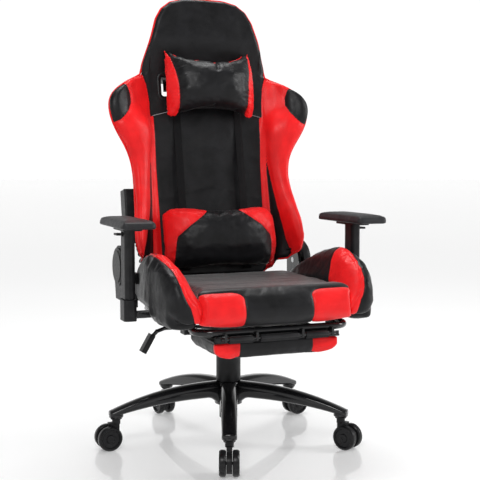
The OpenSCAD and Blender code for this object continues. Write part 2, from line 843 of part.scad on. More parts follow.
function mirrored_rows(rows) = concat(
    [for (row = reverse(rows)) if (row[0] > 0) [-row[0], row[1], row[2], row[3]]], rows);

lumbar_rows = [[0, -22, 150, 88], [60, -22, 152, 86], [108, -22, 156, 76], [145, -18, 152, 54], [164, -4, 140, 30]];
head_rows = [[0, 424, 566, 86], [50, 420, 569, 84], [90, 412, 581, 70], [114, 406, 595, 52], [128, 410, 598, 28]];

module lumbar_pillow() {
    color("black") on_back() loft([for (row = mirrored_rows(lumbar_rows)) pillow_ring(row, panel_front + 3.2)]);
}

module head_pillow() {
    color("black") on_back() loft([for (row = mirrored_rows(head_rows)) pillow_ring(row, pillow_back)]);
}

// ---------- nodes ----------

star_base();
caster_sockets();
lift_column();
dust_cup(0);  // lift_cover_lower
dust_cup(1);  // lift_cover_middle
lift_piston();
dust_cup(2);  // lift_cover_upper
mech_housing();
rock_axle();
rock_spring();
tension_knob();
lever_block();
lever_rod();
lever_paddle();
mech_plate();
mech_bolts();
seat_pan();
seat_cushion();
seat_bolster();  // seat_bolster_left
mirror([1, 0, 0]) seat_bolster();  // seat_bolster_right
both_sides() armrest_bracket();  // armrest_brackets
both_sides() armrest_sleeve();  // armrest_sleeves
footrest_guides();
both_sides() recliner_plate();  // recliner_plates
both_sides() recliner_pin();  // recliner_pins
side_cover(false);  // side_covers
mirror([1, 0, 0]) side_cover(true);  // side_covers
both_sides() disc_cap();  // disc_caps
back_frame();
back_foam();
back_wing();  // back_wing_left
mirror([1, 0, 0]) back_wing();  // back_wing_right
back_cover();
both_sides() recline_arm();  // recline_arms
both_sides() arm_cover();  // arm_covers
arm_bolts();
pillow_straps();
head_strap();
lumbar_pillow();
head_pillow();
mirror([1, 0, 0]) recline_lever();
mirror([1, 0, 0]) recline_grip();
armrest_shroud();  // armrest_shroud_left
armrest_pad();  // armrest_pad_left
armrest_trigger();  // armrest_trigger_left
mirror([1, 0, 0]) armrest_shroud();  // armrest_shroud_right
mirror([1, 0, 0]) armrest_pad();  // armrest_pad_right
mirror([1, 0, 0]) armrest_trigger();  // armrest_trigger_right
footrest_frame();
footrest_board();
footrest_cushion();
caster_hood(0);  // caster_hood_1
caster_wheels(0);  // caster_wheels_1
caster_hood(1);  // caster_hood_2
caster_wheels(1);  // caster_wheels_2
caster_hood(2);  // caster_hood_3
caster_wheels(2);  // caster_wheels_3
caster_hood(3);  // caster_hood_4
caster_wheels(3);  // caster_wheels_4
caster_hood(4);  // caster_hood_5
caster_wheels(4);  // caster_wheels_5
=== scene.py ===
import json
import math

import bmesh
import bpy
import numpy as np
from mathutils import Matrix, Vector, kdtree, noise


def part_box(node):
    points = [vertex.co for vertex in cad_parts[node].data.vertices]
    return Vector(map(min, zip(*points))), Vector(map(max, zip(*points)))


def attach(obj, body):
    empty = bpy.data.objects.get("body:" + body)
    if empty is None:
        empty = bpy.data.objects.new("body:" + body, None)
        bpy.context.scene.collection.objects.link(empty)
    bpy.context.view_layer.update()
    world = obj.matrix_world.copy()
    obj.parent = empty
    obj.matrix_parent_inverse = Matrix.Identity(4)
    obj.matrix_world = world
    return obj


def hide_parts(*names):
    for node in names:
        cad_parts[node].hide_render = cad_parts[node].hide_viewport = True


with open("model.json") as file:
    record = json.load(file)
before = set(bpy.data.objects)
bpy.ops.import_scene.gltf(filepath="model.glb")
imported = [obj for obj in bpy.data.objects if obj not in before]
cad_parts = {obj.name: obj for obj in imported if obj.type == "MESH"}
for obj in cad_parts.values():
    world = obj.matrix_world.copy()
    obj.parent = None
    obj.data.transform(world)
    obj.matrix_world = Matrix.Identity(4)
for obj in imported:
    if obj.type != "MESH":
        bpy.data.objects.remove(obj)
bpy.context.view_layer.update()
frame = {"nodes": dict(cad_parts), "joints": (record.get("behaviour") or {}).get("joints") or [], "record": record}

# Lengths are in millimetres, apart from Blender's own settings and whatever is named _m.
MM = 0.001
nodes = frame["nodes"]
joints = {j["name"]: j for j in frame["joints"]}


# ---------------------------------------------------------------- measuring the frame

class Space:
    """A place and three axes in which part of the chair is easy to describe."""

    def __init__(self, origin, across, behind, up):
        self.origin = np.array(origin, float)
        self.axes = np.array([across, behind, up], float)
        self.cache = {}

    def inside(self, points_m):
        return (np.asarray(points_m, float) - self.origin) @ self.axes.T / MM

    def outside(self, points):
        return (np.asarray(points, float) * MM) @ self.axes + self.origin

    def mesh(self, name):
        """A CAD node's vertices in this space, and its edges."""
        if name not in self.cache:
            data = nodes[name].data
            co = np.zeros(len(data.vertices) * 3)
            data.vertices.foreach_get("co", co)
            ends = np.zeros(len(data.edges) * 2, int)
            data.edges.foreach_get("vertices", ends)
            self.cache[name] = self.inside(co.reshape(-1, 3)), ends.reshape(-1, 2)
        return self.cache[name]

    def cut(self, names, axis, level):
        """Where the CAD nodes' edges cross a plane."""
        found = []
        for name in names:
            co, ends = self.mesh(name)
            a, b = co[ends[:, 0]], co[ends[:, 1]]
            crossing = (a[:, axis] - level) * (b[:, axis] - level) < 0
            a, b = a[crossing], b[crossing]
            t = (level - a[:, axis]) / (b[:, axis] - a[:, axis])
            found.append(a + (b - a) * t[:, None])
        return np.concatenate(found)

    def profile(self, names, axis, levels, measure, width=0):
        """A measure of the cut at each level, smoothed. A level without a cut is filled in."""
        values = []
        for level in levels:
            points = self.cut(names, axis, level)
            values.append(measure(points) if len(points) else np.nan)
        values = np.array(values, float)
        known = ~np.isnan(values)
        values = np.interp(levels, np.asarray(levels)[known], values[known])
        return smooth(values, width)


def smooth(values, width):
    """A running average that keeps the ends."""
    if not width:
        return values
    kernel = np.hanning(2 * width + 3)
    kernel /= kernel.sum()
    padded = np.concatenate([
        2 * values[0] - values[width + 1:0:-1], values, 2 * values[-1] - values[-2:-width - 3:-1]])
    return np.convolve(padded, kernel, "valid")


def table(rows):
    """A function that reads between the rows of a small table."""
    rows = np.array(sorted(rows), float)
    return lambda key: np.interp(key, rows[:, 0], rows[:, 1])


def blend(a, b, t):
    return a + (b - a) * t


def ease(t):
    """0 below 0, 1 above 1, and a smooth rise between."""
    t = np.clip(t, 0, 1)
    return t * t * (3 - 2 * t)


up = np.array(joints["lumbar_slide"]["axis"], float)
BACK = Space(joints["recline"]["pos_m"], (1, 0, 0), np.cross(up, (1, 0, 0)), up)
ROOM = Space((0, 0, 0), (1, 0, 0), (0, 1, 0), (0, 0, 1))


# ---------------------------------------------------------------- making meshes

def new_object(name, points_m, faces):
    mesh = bpy.data.meshes.new(name)
    mesh.from_pydata([tuple(p) for p in points_m], [], [tuple(f) for f in faces])
    mesh.validate()
    mesh.polygons.foreach_set("use_smooth", [True] * len(mesh.polygons))
    mesh.update()
    made = bpy.data.objects.new(name, mesh)
    bpy.context.scene.collection.objects.link(made)
    return made


def grid_faces(rows, columns, start=0, closed=False, flip=False):
    """Quads of a grid of points, whose last column may join its first."""
    faces = []
    for i in range(rows - 1):
        for j in range(columns if closed else columns - 1):
            k = (j + 1) % columns
            face = [start + i * columns + j, start + i * columns + k,
                    start + (i + 1) * columns + k, start + (i + 1) * columns + j]
            faces.append(face[::-1] if flip else face)
    return faces


def loft(name, rings, space, caps=True):
    """A skin over closed rings of the same number of points."""
    rings = np.array(rings, float)
    count, size = rings.shape[:2]
    faces = grid_faces(count, size, closed=True)
    if caps:
        faces += [list(range(size))[::-1], list(range((count - 1) * size, count * size))]
    return new_object(name, space.outside(rings.reshape(-1, 3)), faces)


def round_tube(name, path, radius, space, closed=False, sides=10):
    """A round cord along a path."""
    path = np.array(path, float)
    ahead, behind = np.roll(path, -1, 0), np.roll(path, 1, 0)
    if not closed:
        ahead[-1], behind[0] = path[-1], path[0]
    along = ahead - behind
    along /= np.linalg.norm(along, axis=1)[:, None] + 1e-9
    side = np.cross(along, (0, 1, 0) if abs(along[0][1]) < 0.8 else (1, 0, 0))
    side /= np.linalg.norm(side, axis=1)[:, None] + 1e-9
    other = np.cross(side, along)
    turn = np.linspace(0, 2 * math.pi, sides, endpoint=False)
    rings = [path + radius * (side * math.cos(a) + other * math.sin(a)) for a in turn]
    rings = np.array(rings).transpose(1, 0, 2)
    if closed:
        rings = np.concatenate([rings, rings[:1]])
    return loft(name, rings, space, caps=not closed)


def joined(name, parts):
    """One object made of several."""
    points, faces, start = [], [], 0
    for part in parts:
        co = np.zeros(len(part.data.vertices) * 3)
        part.data.vertices.foreach_get("co", co)
        points.append(co.reshape(-1, 3))
        faces += [[v + start for v in p.vertices] for p in part.data.polygons]
        start += len(part.data.vertices)
        bpy.data.objects.remove(part)
    return new_object(name, np.concatenate(points), faces)


def edge_spaced(count, pinch=0.11):
    """Numbers from 0 to 1 that lie closer together near both ends."""
    x = np.linspace(0, 1, count)
    return x - pinch * np.sin(2 * math.pi * x)


def patch(bottom, right, top):
    """Fills an outline with a grid: bottom and top run across it, and right is mirrored on the left."""
    left = right * (-1, 1)
    s = edge_spaced(len(bottom))[None, :, None]
    t = edge_spaced(len(right))[:, None, None]
    across = (1 - t) * bottom[None] + t * top[None]
    along = (1 - s) * left[:, None] + s * right[:, None]
    corners = ((1 - t) * (1 - s) * bottom[0] + (1 - t) * s * bottom[-1]
               + t * (1 - s) * top[0] + t * s * top[-1])
    return across + along - corners


def rim_of(grid):
    """The points round a grid, in order."""
    return np.concatenate([grid[0, :-1], grid[:-1, -1], grid[-1, :0:-1], grid[:0:-1, 0]])


def closed_form(name, front, walls, rear, space):
    """A solid of two grids of the same size, joined by the wall rings that run round between them."""
    rows, columns = front.shape[:2]
    points = [front.reshape(-1, 3), rear.reshape(-1, 3)] + list(walls)
    faces = grid_faces(rows, columns) + grid_faces(rows, columns, rows * columns, flip=True)
    around = rim_of(np.arange(rows * columns).reshape(rows, columns))
    size, start = len(around), 2 * rows * columns
    rings = [around] + [np.arange(start + k * size, start + (k + 1) * size) for k in range(len(walls))]
    rings.append(around + rows * columns)
    for a, b in zip(rings, rings[1:]):
        faces += [[a[(j + 1) % size], a[j], b[j], b[(j + 1) % size]] for j in range(size)]
    return new_object(name, space.outside(np.concatenate(points)), faces)


def places(made, space):
    """An object's vertices in a space, and their normals."""
    count = len(made.data.vertices)
    co, normal = np.zeros(count * 3), np.zeros(count * 3)
    made.data.vertices.foreach_get("co", co)
    made.data.vertex_normals.foreach_get("vector", normal)
    return space.inside(co.reshape(-1, 3)), normal.reshape(-1, 3) @ space.axes.T


def put(made, points, space):
    made.data.vertices.foreach_set("co", space.outside(points).ravel())
    made.data.update()


def mirrored(points):
    """Distance from the chair's middle, and height."""
    return np.column_stack([np.abs(points[:, 0]), points[:, 2]])


def sampled(line, step=1.5):
    """A line with points close together."""
    line = np.array(line, float)
    parts = [np.linspace(a, b, max(2, int(np.linalg.norm(b - a) / step)), endpoint=False)
             for a, b in zip(line, line[1:])]
    return np.concatenate(parts + [line[-1:]])


def distances(points, lines):
    """How far each point is from the nearest line, and how far along it that is."""
    samples = np.concatenate([sampled(line) for line in lines])
    run = np.concatenate([[0], np.cumsum(np.linalg.norm(np.diff(samples, axis=0), axis=1))])
    tree = kdtree.KDTree(len(samples))
    for i, p in enumerate(samples):
        tree.insert((*p, 0)[:3], i)
    tree.balance()
    found = [tree.find((*p, 0)[:3]) for p in points]
    return np.array([f[2] for f in found]), run[[f[1] for f in found]]


def sew(made, space, flat, lines, where=None, depth=1.3, width=1.8, puff=0.0, reach=14.0, gathers=0.0):
    """Sinks seams into a soft piece, puffs it between them, and gathers it beside them.
    flat turns points into the coordinates that the lines are drawn in."""
    points, normal = places(made, space)
    away, along = distances(flat(points), lines)
    share = np.ones(len(points)) if where is None else where(points, normal)
    move = puff * (1 - np.exp(-away / reach)) - depth * np.exp(-(away / width) ** 2)
    if gathers:
        ripple = np.array([noise.noise((a / 6.5, 0.3 * d / 6.5, 2.0)) for a, d in zip(along, away)])
        move += gathers * ripple * np.exp(-away / 16)
    put(made, points + normal * (move * share)[:, None], space)


def crumple(made, space, size, depth, stretch=(1, 1, 1), seed=0.0):
    """Moves a soft piece's surface in and out a little, as slack leather lies."""
    points, normal = places(made, space)
    spots = points * np.array(stretch) / size
    wave = np.array([noise.fractal(Vector(p) + Vector((seed, 0, 0)), 1.0, 2.0, 3) for p in spots])
    put(made, points + normal * (wave * depth)[:, None], space)


def paint(made, values):
    """Stores how far inside the red each vertex is, in millimetres."""
    layer = made.data.attributes.new("red", "FLOAT", "POINT")
    layer.data.foreach_set("value", np.clip(values, -20, 20).astype(np.float32))


# ---------------------------------------------------------------- materials

class Nodes:
    """A short way to write a material's nodes."""

    def __init__(self, name):
        self.material = bpy.data.materials.new(name)
        self.material.use_nodes = True
        self.tree = self.material.node_tree
        self.shader = self.tree.nodes["Principled BSDF"]
        self.place = self.add("ShaderNodeTexCoord").outputs["Object"]

    def add(self, kind, inputs=(), **settings):
        made = self.tree.nodes.new(kind)
        for key, value in settings.items():
            setattr(made, key, value)
        for key, value in dict(inputs).items():
            if isinstance(value, bpy.types.NodeSocket):
                self.tree.links.new(value, made.inputs[key])
            else:
                made.inputs[key].default_value = value
        return made

    def noise(self, scale, detail=3.0, distortion=0.0):
        return self.add("ShaderNodeTexNoise", {"Vector": self.place, "Scale": scale, "Detail": detail,
                                               "Distortion": distortion}).outputs["Fac"]

    def cells(self, scale):
        return self.add("ShaderNodeTexVoronoi", {"Vector": self.place, "Scale": scale}).outputs["Distance"]

    def mapped(self, value, low, high, out_low, out_high):
        return self.add("ShaderNodeMapRange", {"Value": value, "From Min": low, "From Max": high,
                                               "To Min": out_low, "To Max": out_high}).outputs["Result"]

    def mixed(self, share, a, b):
        return self.add("ShaderNodeMix", {0: share, 6: a, 7: b}, data_type="RGBA").outputs[2]

    def bump(self, height, strength, distance_m, normal=None):
        inputs = {"Height": height, "Strength": strength, "Distance": distance_m}
        if normal is not None:
            inputs["Normal"] = normal
        return self.add("ShaderNodeBump", inputs).outputs["Normal"]

    def set(self, **values):
        """Sets the shader's sockets, whose names are written with _ for a space, and gives the material."""
        for key, value in values.items():
            socket = self.shader.inputs[key.replace("_", " ")]
            if isinstance(value, bpy.types.NodeSocket):
                self.tree.links.new(value, socket)
            else:
                socket.default_value = value
        return self.material


# Upholstery, each colour with the shade that it wears to
BLACK, BLACK_WORN = (0.005, 0.005, 0.0057, 1), (0.011, 0.011, 0.0125, 1)
RED, RED_DEEP = (0.9, 0.013, 0.015, 1), (0.74, 0.009, 0.011, 1)


def leather(name, painted=False, black=True, sheen=0.04):
    """Synthetic leather: pebbled grain, shallow creases, black or red where a piece is painted so."""
    n = Nodes(name)
    patches = n.mapped(n.noise(22, 4), 0.35, 0.7, 0, 1)
    dark = n.mixed(patches, BLACK, BLACK_WORN)
    red = n.mixed(patches, RED, RED_DEEP)
    if painted:
        inside = n.add("ShaderNodeAttribute", attribute_name="red").outputs["Fac"]
        colour = n.mixed(n.mapped(inside, -0.5, 0.5, 0, 1), dark, red)
    else:
        colour = dark if black else red
    grain = n.bump(n.cells(620), 0.35, 0.0004)
    creases = n.bump(n.noise(30, 3, 0.5), 0.3, 0.0012, grain)
    return n.set(Base_Color=colour, Normal=creases, Roughness=n.mapped(n.noise(60, 2), 0.3, 0.7, 0.32, 0.45),
                 Specular_IOR_Level=0.22, Sheen_Weight=sheen, Sheen_Roughness=0.4)


def finish_of(name, colour, other, rough, metallic=0.0, grain=400, grain_m=0.00012, coat=0.0, brushed=None):
    """A hard surface: two near shades, a fine grain and an uneven polish."""
    n = Nodes(name)
    shade = n.mixed(n.mapped(n.noise(35, 3), 0.35, 0.65, 0, 1), (*colour, 1), (*other, 1))
    if brushed:
        n.place = n.add("ShaderNodeMapping", {"Vector": n.place, "Scale": brushed}).outputs["Vector"]
    bump = n.bump(n.noise(grain, 2), 0.4, grain_m)
    return n.set(Base_Color=shade, Normal=bump, Metallic=metallic, Coat_Weight=coat, Coat_Roughness=0.06,
                 Specular_IOR_Level=0.22,
                 Roughness=n.mapped(n.noise(grain / 6, 3), 0.3, 0.7, rough * 0.85, rough * 1.2))


def webbing(name):
    """Woven elastic."""
    n = Nodes(name)
    ribs = n.add("ShaderNodeTexWave", {"Vector": n.place, "Scale": 190.0, "Distortion": 0.6, "Detail": 1.0},
                 bands_direction="Z").outputs["Fac"]
    shade = n.mixed(ribs, (0.003, 0.003, 0.0035, 1), (0.008, 0.008, 0.009, 1))
    return n.set(Base_Color=shade, Normal=n.bump(ribs, 0.6, 0.0004), Specular_IOR_Level=0.15,
                 Roughness=n.mapped(n.noise(90), 0, 1, 0.6, 0.85))


def plywood(name):
    """Plywood under a black stain."""
    n = Nodes(name)
    grain = n.add("ShaderNodeTexWave", {"Vector": n.place, "Scale": 14.0, "Distortion": 4.0, "Detail": 3.0},
                  bands_direction="X").outputs["Fac"]
    shade = n.mixed(grain, (0.020, 0.015, 0.011, 1), (0.045, 0.034, 0.024, 1))
    return n.set(Base_Color=shade, Normal=n.bump(grain, 0.3, 0.0003),
                 Roughness=n.mapped(n.noise(30), 0, 1, 0.5, 0.75))


# Hard surfaces: two near shades, how rough, and what else sets them apart
FINISHES = {
    "gloss_black_steel": dict(colour=(0.006, 0.006, 0.007), other=(0.010, 0.010, 0.011), rough=0.16, coat=0.35),
    "lift_black": dict(colour=(0.008, 0.008, 0.009), other=(0.013, 0.013, 0.014), rough=0.24, metallic=0.2),
    "cover_plastic": dict(colour=(0.008, 0.008, 0.009), other=(0.014, 0.014, 0.015), rough=0.42, grain=900),
    "bright_steel": dict(colour=(0.55, 0.56, 0.57), other=(0.68, 0.68, 0.69), rough=0.26, metallic=1.0,
                         brushed=(1, 1, 12)),
    "caster_plastic": dict(colour=(0.008, 0.008, 0.009), other=(0.014, 0.014, 0.015), rough=0.36, grain=700),
    "caster_wheel": dict(colour=(0.008, 0.008, 0.009), other=(0.014, 0.014, 0.015), rough=0.28, grain=500),
    "matte_plastic": dict(colour=(0.009, 0.009, 0.010), other=(0.016, 0.016, 0.017), rough=0.40, grain=1100),
    "armrest_pad": dict(colour=(0.017, 0.017, 0.019), other=(0.028, 0.028, 0.030), rough=0.46, grain=800,
                        grain_m=0.0003),
    "frame_steel": dict(colour=(0.03, 0.03, 0.03), other=(0.045, 0.045, 0.045), rough=0.4, metallic=0.5),
    "neck_thread": dict(colour=(0.22, 0.22, 0.23), other=(0.32, 0.32, 0.33), rough=0.5, grain=1500),
}
looks = {name: finish_of(name, **settings) for name, settings in FINISHES.items()}
looks["black_upholstery"] = leather("black_upholstery")
looks["red_upholstery"] = leather("red_upholstery", black=False)
looks["elastic_strap"] = webbing("elastic_strap")
looks["plywood"] = plywood("plywood")
two_tone = leather("two_tone_upholstery", painted=True)
seat_top = leather("seat_upholstery", painted=True, sheen=0.3)
record_slot = {part["node"]: part["material_slot"] for part in frame["record"]["subparts"]}


# Eased edges of the CAD nodes: how near points are joined, the width, and the least angle in degrees
WELD_WITHIN, EDGE_WIDTH, SHARP_ABOVE = 0.01, 0.7, 35


def dress(made, material, body, stands_for=()):
    """Gives a piece its material and its CAD body, and hides the CAD nodes that it stands for."""
    made.data.materials.clear()
    made.data.materials.append(material)
    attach(made, body)
    if stands_for:
        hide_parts(*stands_for)


def dress_cad():
    """Every CAD node gets the material of its slot, and eased edges where it still shows."""
    for name, node in nodes.items():
        material = looks[record_slot[name]]
        if not node.data.materials:
            node.data.materials.append(material)
        for i in range(len(node.data.materials)):
            node.data.materials[i] = material
        if node.hide_render:
            continue
        weld = node.modifiers.new("weld", "WELD")
        weld.merge_threshold = WELD_WITHIN * MM
        bevel = node.modifiers.new("edges", "BEVEL")
        bevel.width = EDGE_WIDTH * MM
        bevel.segments = 2
        bevel.limit_method = "ANGLE"
        bevel.angle_limit = math.radians(SHARP_ABOVE)
        bevel.use_clamp_overlap = True


# ---------------------------------------------------------------- soft pieces by cloth simulation

CLOTH_PRESSURE = 4
CLOTH_FRAMES = 20


def soft_copy(name, source, voxel, cap, rounds, shrink):
    """A CAD solid as a stuffed cover: remeshed, eased and a little smaller, then blown up by cloth.
    cap is the furthest that the cloth may move, and at 0 there is no cloth."""
    copy = nodes[source].copy()
    copy.data = nodes[source].data.copy()
    made = joined(name, [copy])
    remesh = made.modifiers.new("remesh", "REMESH")
    remesh.mode, remesh.voxel_size = "VOXEL", voxel * MM
    apply_modifiers(made)
    relax(made, rounds)
    points, normal = places(made, ROOM)
    start = points - normal * shrink
    put(made, start, ROOM)
    if cap:
        move = blown_up(made) - start
        size = np.linalg.norm(move, axis=1)[:, None] + 1e-9
        put(made, start + move * np.minimum(size, cap) / size, ROOM)
        relax(made, 2)
    finer = made.modifiers.new("finer", "SUBSURF")
    finer.levels = finer.render_levels = 1
    apply_modifiers(made)
    return made


def blown_up(made):
    """Where a short cloth simulation with pressure inside takes the vertices."""
    cloth = made.modifiers.new("cloth", "CLOTH")
    cloth.settings.use_pressure = True
    cloth.settings.uniform_pressure_force = CLOTH_PRESSURE
    cloth.settings.quality = 4
    cloth.settings.tension_stiffness = 12
    cloth.settings.bending_stiffness = 0.6
    cloth.settings.effector_weights.gravity = 0
    cloth.point_cache.frame_start, cloth.point_cache.frame_end = 1, CLOTH_FRAMES
    scene = bpy.context.scene
    for step in range(1, CLOTH_FRAMES + 1):
        scene.frame_set(step)
    held = made.evaluated_get(bpy.context.evaluated_depsgraph_get())
    co = np.zeros(len(held.data.vertices) * 3)
    held.data.vertices.foreach_get("co", co)
    made.modifiers.clear()
    scene.frame_set(1)
    return co.reshape(-1, 3) / MM


def apply_modifiers(made):
    graph = bpy.context.evaluated_depsgraph_get()
    data = bpy.data.meshes.new_from_object(made.evaluated_get(graph))
    made.modifiers.clear()
    made.data = data
    data.polygons.foreach_set("use_smooth", [True] * len(data.polygons))
    data.update()


def relax(made, rounds, share=1.0, regain=0.5):
    """Eases the surface, with each second pass regaining what the first shrank. share may differ by point."""
    ends = np.zeros(len(made.data.edges) * 2, int)
    made.data.edges.foreach_get("vertices", ends)
    a, b = ends.reshape(-1, 2).T
    points, _ = places(made, ROOM)
    count = np.bincount(np.concatenate([a, b]), minlength=len(points))[:, None]
    share = np.broadcast_to(share, len(points))[:, None]
    for turn in range(2 * rounds):
        total = np.zeros_like(points)
        np.add.at(total, a, points[b])
        np.add.at(total, b, points[a])
        points += (total / np.maximum(count, 1) - points) * share * (0.55 if turn % 2 == 0 else -regain)
    put(made, points, ROOM)


# ---------------------------------------------------------------- backrest

SHELL = ["back_foam", "back_wing_left", "back_cover"]
ROWS, COLUMNS = 225, 151
# How far the first and last rows of the grid lie inside the shell's lowest and highest points
ROWS_FROM_LOW, ROWS_FROM_HIGH = 24, 30
# The cover runs on behind the seat cushion, inside the circle that the hinge leaves free
HIDDEN_HEM = 19
# Radii of the cover's front and rear edges, of a strap hole's corners, and of the piping
FRONT_ROUND, REAR_ROUND = 12, 9
HOLE_RADIUS = 16
PIPING_RADIUS = 3
# The piping's middle: outside the rim, ahead of it, and how far it may be eased
PIPING_OUT, PIPING_AHEAD, PIPING_PLAY = 1.2, 1.5, 1.8
# Share of its thickness by which the shell is narrower at the rear, at the sides and at the ends
SIDE_TAPER, END_TAPER = 0.35, 0.12
# Paint value of the walls: the change from red to black falls under the piping
BEHIND_RIM = -30
# Heights at which the red ends: the inner strips and the wings
STRIP_TOP, WING_TOP = 417, 539

# Seams, as [height up the back, distance from the middle]
strip_inner = table([(-18, 155), (160, 156), (300, 158), (415, 160)])
strip_outer = table([(-18, 182), (160, 177), (300, 173), (415, 168)])
flank_seam = table([(4, 226), (60, 207), (153, 190), (294, 175), (392, 169), (460, 170), (506, 176),
                    (540, 187)])
lens_edge = table([(384, 300), (392, 270), (405, 255), (425, 240), (447, 231), (470, 232), (490, 239),
                   (502, 249), (514, 300)])
neck_seam = [(0, 440), (60, 438), (128, 427), (162, 418)]
channels = [[(80, -18), (80, 434)], [(103, -18), (103, 430)]]
chevrons = [[(0, 337), (80, 316)], [(0, 221), (80, 200)], [(154, 297), (103, 312)], [(148, 181), (103, 192)]]


def seam_line(seam, low, high):
    """A seam's points between two heights."""
    levels = np.linspace(low, high, 24)
    return np.column_stack([seam(levels), levels])


class Backrest:
    """Measures the CAD back once, and gives its front and rear as heights over the outline."""

    def __init__(self):
        heights = np.concatenate([BACK.mesh(n)[0][:, 2] for n in SHELL])
        self.low, self.high = heights.min(), heights.max()
        self.levels = blend(self.low + ROWS_FROM_LOW, self.high - ROWS_FROM_HIGH, edge_spaced(ROWS))
        half = BACK.profile(SHELL, 2, self.levels, lambda p: np.abs(p[:, 0]).max(), 3)
        self.right = np.column_stack([half, self.levels])
        self.bottom = self.edge(0, lambda p: p[:, 2].min())
        self.top = self.edge(-1, lambda p: p[:, 2].max())
        self.panel = BACK.profile(["back_foam"], 2, self.levels, lambda p: -p[:, 1].min(), 12)
        self.panel -= 11 * ease((380 - self.levels) / 120)
        self.wing = BACK.profile(SHELL, 2, self.levels, lambda p: -p[:, 1].min(), 5)
        self.side = BACK.profile(SHELL, 2, self.levels,
                                 lambda p: p[p[:, 0] > p[:, 0].max() - 30][:, 1].max(), 12)
        self.rear = BACK.mesh("back_cover")[0][:, 1].max()
        self.rim = rim_of(patch(self.bottom, self.right, self.top))

    def edge(self, end, measure):
        """The bottom (end 0) or top (end -1) of the outline, from the CAD's lowest or highest points."""
        reach = self.right[end, 0]
        across = blend(-reach, reach, edge_spaced(COLUMNS))
        found = BACK.profile(SHELL, 0, np.clip(np.abs(across[COLUMNS // 2:]), 1, reach - 0.5), measure, 3)
        found += (self.right[end, 1] - found[-1]) * ease(np.linspace(-0.5, 1, len(found)))
        if end == 0:
            found -= HIDDEN_HEM * ease((165 - np.abs(across[COLUMNS // 2:])) / 30)
        return np.column_stack([across, np.concatenate([found[:0:-1], found])])

    def half(self, v):
        """Half of the outline's width at a height."""
        return np.interp(v, self.levels, self.right[:, 0])

    def front(self, u, v):
        """How far the front stands forward: a flat panel, a soft shoulder, then the wing."""
        u = np.abs(u)
        panel, wing = np.interp(v, self.levels, self.panel), np.interp(v, self.levels, self.wing)
        rise, half = np.maximum(wing - panel, 0), self.half(v)
        inner, seam = strip_outer(v), flank_seam(v) + 38 * ease((v - 360) / 90)
        shoulder = np.minimum(0.62 * rise, 34) * (1 - 0.5 * ease((v - 360) / 80))
        # From the strip's outer seam to the edge: distance from the middle, and rise over the panel
        knots = [(inner - 3, 0 * rise),
                 (blend(inner, seam, 0.45) + 2, 0.5 * shoulder),
                 (seam + 1, shoulder),
                 (blend(seam, half, 0.42), blend(shoulder, rise, 0.72) + 2),
                 (blend(seam, half, 0.78), rise + 1),
                 (half, rise - 3)]
        depth = panel.copy()
        for (u0, d0), (u1, d1) in zip(knots, knots[1:]):
            depth += (d1 - d0) * np.clip((u - u0) / np.maximum(u1 - u0, 4), 0, 1)
        return depth

    def back(self, u, v, half):
        """How far the rear stands back: flat in the middle, and falling to the sides."""
        t = ease((np.abs(u) - 150) / np.maximum(half - 152, 12))
        return blend(self.rear, np.interp(v, self.levels, self.side) - 3, t)


def drop(distance, radius):
    """How far a rounded edge has fallen away at a distance from it."""
    t = 1 - np.clip(distance / radius, 0, 1)
    return radius * (1 - np.sqrt(np.maximum(0, 1 - t * t)))


def eased_grid(values, rounds):
    """Evens out a grid of depths."""
    for _ in range(rounds):
        inner = values.copy()
        inner[1:-1, :] = 0.5 * values[1:-1] + 0.25 * (values[:-2] + values[2:])
        values = inner.copy()
        values[:, 1:-1] = 0.5 * inner[:, 1:-1] + 0.25 * (inner[:, :-2] + inner[:, 2:])
    return values


def hole_facts():
    """A strap hole's middle, and its half width and height, from the CAD foam."""
    middle = 500
    sides = np.abs(BACK.cut(["back_foam"], 2, middle)[:, 0])
    sides = sides[sides < 140]
    ends = BACK.cut(["back_foam"], 0, (sides.min() + sides.max()) / 2)[:, 2]
    low, high = ends[ends < middle], ends[ends > middle]
    low, high = low[low > middle - 70].max(), high[high < middle + 70].min()
    return (np.array([(sides.min() + sides.max()) / 2, (low + high) / 2]),
            np.array([(sides.max() - sides.min()) / 2, (high - low) / 2]))


def in_rounded_box(points, middle, half, radius):
    """The distance inside a rounded rectangle, and below 0 outside it."""
    q = np.abs(points - middle) - half + radius
    return radius - np.linalg.norm(np.maximum(q, 0), axis=1) - np.minimum(q.max(1), 0)


def rim_distance(grid, rim):
    """How far each point of a grid is inside the rim."""
    away, _ = distances(grid.reshape(-1, 2), [np.vstack([rim, rim[:1]])])
    return away.reshape(grid.shape[:2])


def outward_of(rim):
    """At each point of the rim, the direction away from the backrest."""
    along = np.roll(rim, -1, 0) - np.roll(rim, 1, 0)
    outward = np.column_stack([along[:, 1], -along[:, 0]])
    return outward / np.linalg.norm(outward, axis=1)[:, None]


def front_grid(b):
    grid = patch(b.bottom, b.right, b.top)
    u, v = grid[..., 0], grid[..., 1]
    depth = eased_grid(b.front(u, v), 6) - drop(rim_distance(grid, b.rim), FRONT_ROUND)
    return np.stack([u, -depth, v], -1)


def rear_grid(b, rim):
    side_end = COLUMNS - 1 + ROWS
    top = rim[side_end - 1:side_end - 1 + COLUMNS][::-1]
    grid = patch(rim[:COLUMNS], rim[COLUMNS - 1:side_end], top)
    u, v = grid[..., 0], grid[..., 1]
    half = np.interp(v, grid[:, -1, 1], grid[:, -1, 0])
    depth = eased_grid(b.back(u, v, half), 3) - drop(rim_distance(grid, rim), REAR_ROUND)
    return np.stack([u, depth, v], -1)


